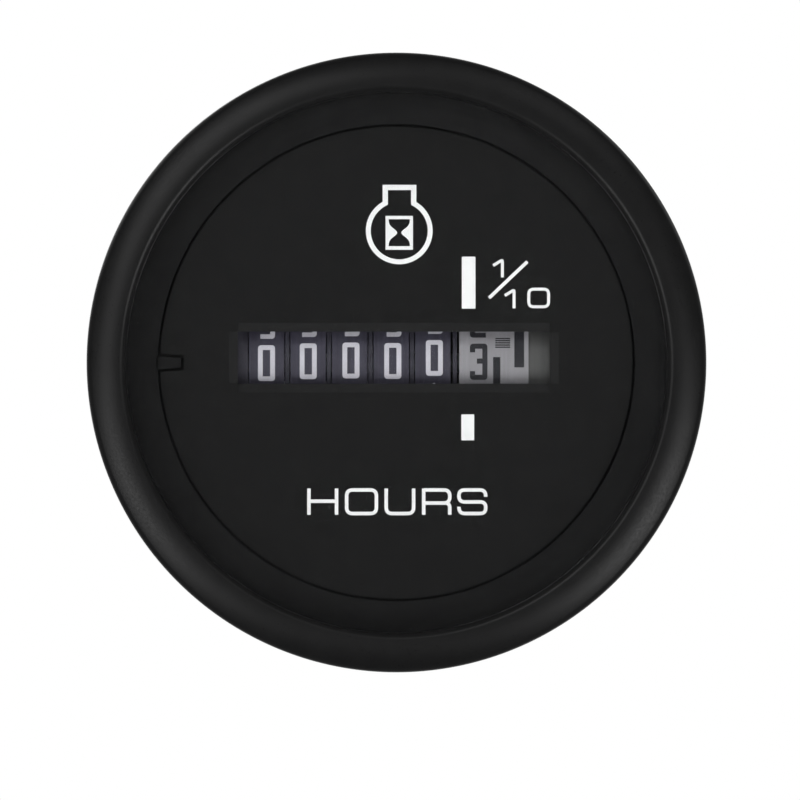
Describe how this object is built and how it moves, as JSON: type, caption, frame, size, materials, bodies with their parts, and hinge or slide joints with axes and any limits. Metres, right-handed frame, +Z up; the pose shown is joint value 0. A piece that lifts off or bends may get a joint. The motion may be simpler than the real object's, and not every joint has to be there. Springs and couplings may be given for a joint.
{
  "type": "hour meter",
  "caption": "Round panel hour meter with a push-on bezel, flat lens, printed dial and a wheel counter with tenths, driven by a quartz stepper motor.",
  "frame": {"origin": "centre of the panel cut-out, on the face of the panel that the gasket seats on", "axes": "+Y back through the panel along the case, +X right and +Z up on the face, which looks along -Y"},
  "size_m": [0.06, 0.0667, 0.06],
  "materials": {
    "satin_black": "satin moulded plastic",
    "clear_lens": "polished clear",
    "seal_rubber": "soft matt rubber",
    "dial_black": "fine matt paint with white print",
    "steel": "bright zinc-plated steel",
    "brass": "rolled brass",
    "frame_plastic": "moulded plastic",
    "wheel_black": "moulded plastic with white figures",
    "wheel_white": "moulded plastic with black figures",
    "collar_grey": "moulded grey plastic",
    "carrier_steel": "blackened spring steel",
    "natural_plastic": "natural acetal",
    "magnet": "sintered magnet",
    "electrical_steel": "stamped soft iron",
    "copper_wire": "enamelled copper wire",
    "board_green": "solder mask on glass laminate",
    "chip_black": "moulded epoxy",
    "capacitor_can": "sleeved aluminium can",
    "diode_body": "glass and tinned ends"
  },
  "bodies": {
    "root": {"bezel": "satin_black", "lens": "clear_lens", "lens_gasket": "seal_rubber", "trim_ring": "satin_black", "dial": "dial_black", "case": "satin_black", "panel_gasket": "seal_rubber", "mounting_studs": "steel", "positive_terminal": "brass", "negative_terminal": "brass", "counter_frame": "frame_plastic", "wheel_shaft": "steel", "shaft_clip": "steel", "end_collar": "frame_plastic", "carrier_plate_1": "carrier_steel", "carrier_plate_2": "carrier_steel", "carrier_plate_3": "carrier_steel", "carrier_plate_4": "carrier_steel", "carrier_plate_5": "carrier_steel", "gear_bridge": "brass", "bridge_screws": "steel", "stator": "electrical_steel", "coil_core": "electrical_steel", "coil_bobbin": "natural_plastic", "coil_winding": "copper_wire", "coil_screws": "steel", "coil_pins": "brass", "circuit_board": "board_green", "timer_chip": "chip_black", "quartz_crystal": "steel", "capacitor": "capacitor_can", "resistors": "chip_black", "diode": "diode_body", "board_screws": "steel"},
    "tenths": {"tenths_wheel": "wheel_white", "drive_gear": "collar_grey"},
    "units": {"units_wheel": "wheel_black"},
    "tens": {"tens_wheel": "wheel_black"},
    "hundreds": {"hundreds_wheel": "wheel_black"},
    "thousands": {"thousands_wheel": "wheel_black"},
    "ten_thousands": {"ten_thousands_wheel": "wheel_black"},
    "carry_1": {"carry_pinion_1": "natural_plastic"},
    "carry_2": {"carry_pinion_2": "natural_plastic"},
    "carry_3": {"carry_pinion_3": "natural_plastic"},
    "carry_4": {"carry_pinion_4": "natural_plastic"},
    "carry_5": {"carry_pinion_5": "natural_plastic"},
    "intermediate": {"intermediate_gear": "natural_plastic"},
    "rotor": {"rotor_magnet": "magnet", "rotor_pinion": "brass"}
  },
  "joints": [
    {"name": "tenths_spin", "type": "hinge", "parent": "root", "child": "tenths", "pos_m": [0, 0.00565, 0], "axis": [-1, 0, 0], "continuous": true},
    {"name": "units_spin", "type": "hinge", "parent": "root", "child": "units", "pos_m": [0, 0.00565, 0], "axis": [-1, 0, 0], "continuous": true},
    {"name": "tens_spin", "type": "hinge", "parent": "root", "child": "tens", "pos_m": [0, 0.00565, 0], "axis": [-1, 0, 0], "continuous": true},
    {"name": "hundreds_spin", "type": "hinge", "parent": "root", "child": "hundreds", "pos_m": [0, 0.00565, 0], "axis": [-1, 0, 0], "continuous": true},
    {"name": "thousands_spin", "type": "hinge", "parent": "root", "child": "thousands", "pos_m": [0, 0.00565, 0], "axis": [-1, 0, 0], "continuous": true},
    {"name": "ten_thousands_spin", "type": "hinge", "parent": "root", "child": "ten_thousands", "pos_m": [0, 0.00565, 0], "axis": [-1, 0, 0], "continuous": true},
    {"name": "carry_1_spin", "type": "hinge", "parent": "root", "child": "carry_1", "pos_m": [0, 0.00565, -0.00371], "axis": [-1, 0, 0], "continuous": true},
    {"name": "carry_2_spin", "type": "hinge", "parent": "root", "child": "carry_2", "pos_m": [0, 0.00565, -0.00371], "axis": [-1, 0, 0], "continuous": true},
    {"name": "carry_3_spin", "type": "hinge", "parent": "root", "child": "carry_3", "pos_m": [0, 0.00565, -0.00371], "axis": [-1, 0, 0], "continuous": true},
    {"name": "carry_4_spin", "type": "hinge", "parent": "root", "child": "carry_4", "pos_m": [0, 0.00565, -0.00371], "axis": [-1, 0, 0], "continuous": true},
    {"name": "carry_5_spin", "type": "hinge", "parent": "root", "child": "carry_5", "pos_m": [0, 0.00565, -0.00371], "axis": [-1, 0, 0], "continuous": true},
    {"name": "intermediate_spin", "type": "hinge", "parent": "root", "child": "intermediate", "pos_m": [0, 0.01292, 0], "axis": [-1, 0, 0], "continuous": true},
    {"name": "rotor_spin", "type": "hinge", "parent": "root", "child": "rotor", "pos_m": [0, 0.02014, 0], "axis": [-1, 0, 0], "continuous": true}
  ],
  "couplings": [
    {"joint": "units_spin", "follows": "tenths_spin", "ratio": 0.1},
    {"joint": "tens_spin", "follows": "tenths_spin", "ratio": 0.01},
    {"joint": "hundreds_spin", "follows": "tenths_spin", "ratio": 0.001},
    {"joint": "thousands_spin", "follows": "tenths_spin", "ratio": 0.0001},
    {"joint": "ten_thousands_spin", "follows": "tenths_spin", "ratio": 0.00001},
    {"joint": "carry_1_spin", "follows": "tenths_spin", "ratio": 0.000033333},
    {"joint": "carry_2_spin", "follows": "tenths_spin", "ratio": 0.00033333},
    {"joint": "carry_3_spin", "follows": "tenths_spin", "ratio": 0.0033333},
    {"joint": "carry_4_spin", "follows": "tenths_spin", "ratio": 0.033333},
    {"joint": "carry_5_spin", "follows": "tenths_spin", "ratio": 0.33333},
    {"joint": "intermediate_spin", "follows": "tenths_spin", "ratio": -6.25},
    {"joint": "rotor_spin", "follows": "tenths_spin", "ratio": 50}
  ]
}
